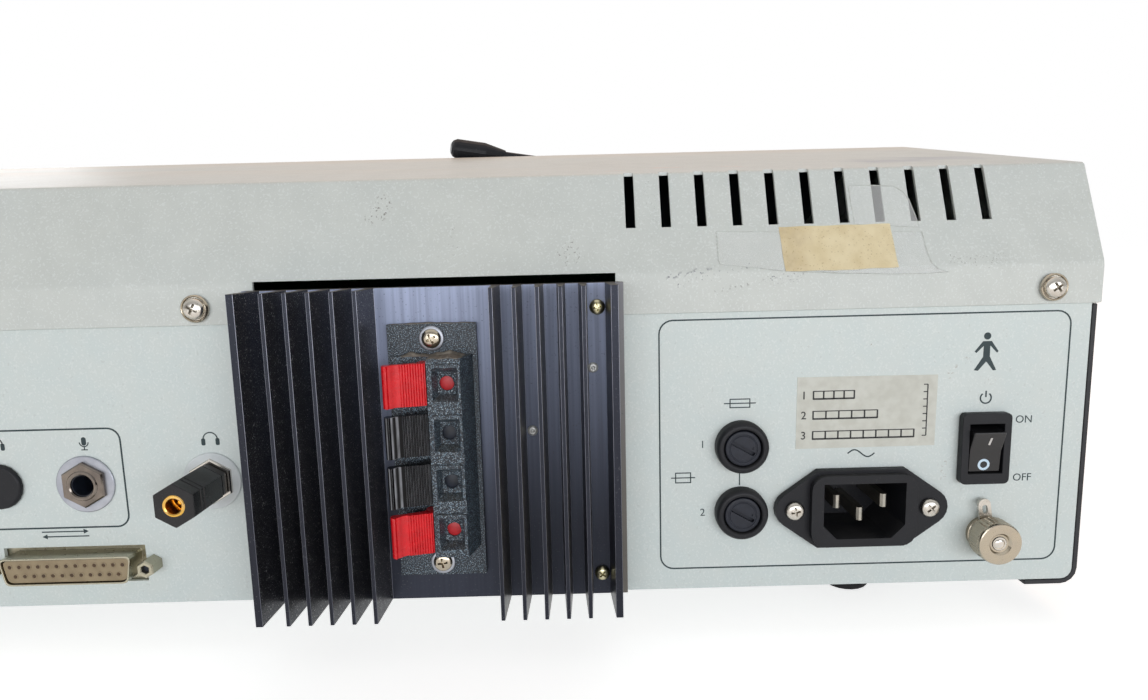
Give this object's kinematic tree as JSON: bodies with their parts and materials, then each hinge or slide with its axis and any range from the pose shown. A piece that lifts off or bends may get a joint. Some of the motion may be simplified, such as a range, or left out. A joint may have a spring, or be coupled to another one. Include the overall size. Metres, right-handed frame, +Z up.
{
  "type": "audiometer",
  "caption": "Desktop clinical audiometer in a sheet-metal case with a sloped operator panel, rear heat sink, speaker terminal, sockets, mains inlet and power switch.",
  "frame": {"origin": "on the table, below the middle of the whole object's box", "axes": "+X along the rear panel to the viewer's right when it is seen from behind, +Y from the rear panel towards the operator, +Z up"},
  "size_m": [0.5188, 0.4064, 0.168],
  "materials": {
    "grey_paint": "light grey satin paint",
    "black_paint": "black satin paint",
    "black_anodised": "black anodised",
    "black_plastic": "moulded, black",
    "textured_plastic": "moulded with a coarse grain",
    "red_plastic": "glossy red",
    "nickel": "nickel plated",
    "rubber": "black rubber",
    "tan_plastic": "moulded, tan",
    "fascia_film": "matt film",
    "display_glass": "tinted, clear",
    "key_plastic": "moulded, blue",
    "circuit_board": "solder mask",
    "transformer_tape": "polyester tape",
    "module_metal": "plated sheet"
  },
  "bodies": {
    "case": {"amplifier_board": "circuit_board", "base_tray": "grey_paint", "blank_plug": "black_plastic", "control_board": "circuit_board", "cover_screw_left": "nickel", "cover_screw_middle": "nickel", "cover_screw_right": "nickel", "display_module": "module_metal", "display_window": "display_glass", "foot_1": "rubber", "foot_2": "rubber", "foot_3": "rubber", "foot_4": "rubber", "fuse_holder_lower": "black_plastic", "fuse_holder_upper": "black_plastic", "ground_lug": "nickel", "ground_stud": "nickel", "heat_sink": "black_anodised", "inlet_blade_earth": "nickel", "inlet_blade_line": "nickel", "inlet_blade_neutral": "nickel", "inlet_screw_left": "nickel", "inlet_screw_right": "nickel", "main_board": "circuit_board", "mains_inlet": "black_plastic", "mains_transformer": "transformer_tape", "microphone_socket": "black_plastic", "monitor_jack": "nickel", "operator_panel": "fascia_film", "rear_panel": "grey_paint", "serial_insert": "tan_plastic", "serial_jackscrew_left": "nickel", "serial_jackscrew_right": "nickel", "serial_shell": "nickel", "side_panel_left": "black_paint", "side_panel_right": "black_paint", "sink_screw_lower": "nickel", "sink_screw_upper": "nickel", "socket_plate": "grey_paint", "socket_row": "black_plastic", "speaker_terminal": "textured_plastic", "switch_bezel": "black_plastic", "talk_back_jack": "nickel", "terminal_screw_lower": "nickel", "terminal_screw_upper": "nickel", "top_cover": "grey_paint"},
    "rocker": {"power_rocker": "black_plastic"},
    "lever_1": {"terminal_lever_1": "red_plastic"},
    "lever_2": {"terminal_lever_2": "black_plastic"},
    "lever_3": {"terminal_lever_3": "black_plastic"},
    "lever_4": {"terminal_lever_4": "red_plastic"},
    "fuse_cap_lower": {"fuse_cap_lower": "black_plastic"},
    "fuse_cap_upper": {"fuse_cap_upper": "black_plastic"},
    "nut": {"ground_nut": "nickel"},
    "adapter": {"monitor_adapter": "black_plastic"},
    "dial_left": {"level_dial_left": "black_plastic"},
    "dial_right": {"level_dial_right": "black_plastic"},
    "key_left": {"tone_key_left": "key_plastic"},
    "key_right": {"tone_key_right": "key_plastic"},
    "microphone": {"talk_microphone": "black_plastic"}
  },
  "joints": [
    {"name": "rocker_tilt", "type": "hinge", "parent": "case", "child": "rocker", "pos_m": [0.2278, -0.181, 0.0552], "axis": [-1, 0, 0], "range_deg": [0, 24]},
    {"name": "lever_1_press", "type": "hinge", "parent": "case", "child": "lever_1", "pos_m": [0.0656, -0.192, 0.08095], "axis": [0, 0, -1], "range_deg": [0, 12], "stiffness_Nm_per_rad": 0.05, "springref_deg": -5.73},
    {"name": "lever_2_press", "type": "hinge", "parent": "case", "child": "lever_2", "pos_m": [0.0656, -0.192, 0.06685], "axis": [0, 0, -1], "range_deg": [0, 12], "stiffness_Nm_per_rad": 0.05, "springref_deg": -5.73},
    {"name": "lever_3_press", "type": "hinge", "parent": "case", "child": "lever_3", "pos_m": [0.0656, -0.192, 0.05275], "axis": [0, 0, -1], "range_deg": [0, 12], "stiffness_Nm_per_rad": 0.05, "springref_deg": -5.73},
    {"name": "lever_4_press", "type": "hinge", "parent": "case", "child": "lever_4", "pos_m": [0.0656, -0.192, 0.03865], "axis": [0, 0, -1], "range_deg": [0, 12], "stiffness_Nm_per_rad": 0.05, "springref_deg": -5.73},
    {"name": "fuse_cap_lower_turn", "type": "hinge", "parent": "case", "child": "fuse_cap_lower", "pos_m": [0.1561, -0.1821, 0.0372], "axis": [0, 1, 0], "range_deg": [0, 90]},
    {"name": "fuse_cap_upper_turn", "type": "hinge", "parent": "case", "child": "fuse_cap_upper", "pos_m": [0.1561, -0.1821, 0.0575], "axis": [0, 1, 0], "range_deg": [0, 90]},
    {"name": "ground_nut_turn", "type": "hinge", "parent": "case", "child": "nut", "pos_m": [0.2297, -0.1821, 0.0285], "axis": [0, -1, 0], "continuous": true},
    {"name": "adapter_pull", "type": "slide", "parent": "case", "child": "adapter", "axis": [0, -1, 0], "range_m": [0, 0.03]},
    {"name": "dial_left_turn", "type": "hinge", "parent": "case", "child": "dial_left", "pos_m": [-0.178, 0.11032, 0.09496], "axis": [0, 0.361, 0.9326], "continuous": true},
    {"name": "dial_right_turn", "type": "hinge", "parent": "case", "child": "dial_right", "pos_m": [0.178, 0.11032, 0.09496], "axis": [0, 0.361, 0.9326], "continuous": true},
    {"name": "key_left_press", "type": "slide", "parent": "case", "child": "key_left", "axis": [0, -0.361, -0.9326], "range_m": [0, 0.003], "stiffness_N_per_m": 300, "springref_m": -0.001},
    {"name": "key_right_press", "type": "slide", "parent": "case", "child": "key_right", "axis": [0, -0.361, -0.9326], "range_m": [0, 0.003], "stiffness_N_per_m": 300, "springref_m": -0.001},
    {"name": "microphone_swing", "type": "hinge", "parent": "case", "child": "microphone", "pos_m": [0.1253, -0.02582, 0.14767], "axis": [0, 0.361, 0.9326], "range_deg": [-30, 120]}
  ]
}
